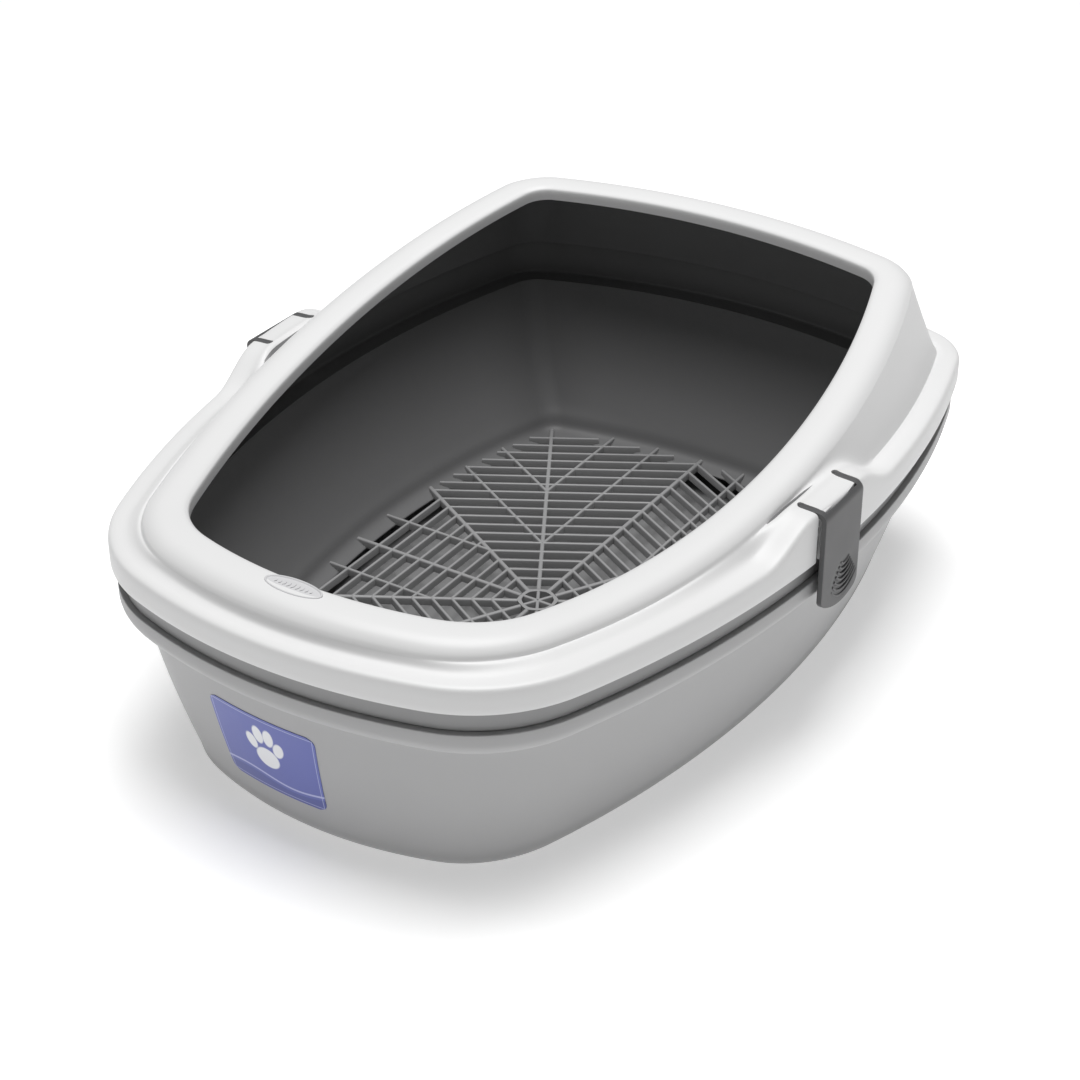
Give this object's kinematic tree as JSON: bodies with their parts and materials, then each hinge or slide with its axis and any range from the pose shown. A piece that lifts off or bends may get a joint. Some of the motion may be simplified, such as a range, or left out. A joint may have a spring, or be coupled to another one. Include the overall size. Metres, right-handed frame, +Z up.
{
  "type": "cat litter box with hood",
  "caption": "Open litter tray in stacked mouldings: tapered pan, lift-out sieve basket with a web grate, high-backed rim hood and swinging side clips.",
  "frame": {"origin": "on the floor under the middle of the tray's outline", "axes": "+X to the right, +Y towards the high back, +Z up"},
  "size_m": [0.4396, 0.59, 0.2268],
  "materials": {
    "pan_grey": "satin",
    "label_blue": "gloss",
    "sieve_grey": "satin",
    "rim_white": "satin",
    "plaque_white": "satin",
    "clip_grey": "satin"
  },
  "bodies": {
    "pan": {"pan": "pan_grey", "pan_label": "label_blue"},
    "sieve": {"sieve_basket": "sieve_grey", "sieve_grate": "sieve_grey"},
    "hood": {"hood_rim": "rim_white", "hood_plaque": "plaque_white", "mount_left": "rim_white", "mount_right": "rim_white"},
    "clip_left": {"clip_left": "clip_grey"},
    "clip_right": {"clip_right": "clip_grey"}
  },
  "joints": [
    {"name": "sieve_lift", "type": "slide", "parent": "pan", "child": "sieve", "axis": [0, 0, 1], "range_m": [0, 0.24]},
    {"name": "hood_lift", "type": "slide", "parent": "sieve", "child": "hood", "axis": [0, 0, 1], "range_m": [0, 0.24]},
    {"name": "clip_left_swing", "type": "hinge", "parent": "hood", "child": "clip_left", "pos_m": [-0.20261, -0.005, 0.1725], "axis": [0, 1, 0], "range_deg": [0, 80]},
    {"name": "clip_right_swing", "type": "hinge", "parent": "hood", "child": "clip_right", "pos_m": [0.20261, -0.005, 0.1725], "axis": [0, -1, 0], "range_deg": [0, 80]}
  ]
}
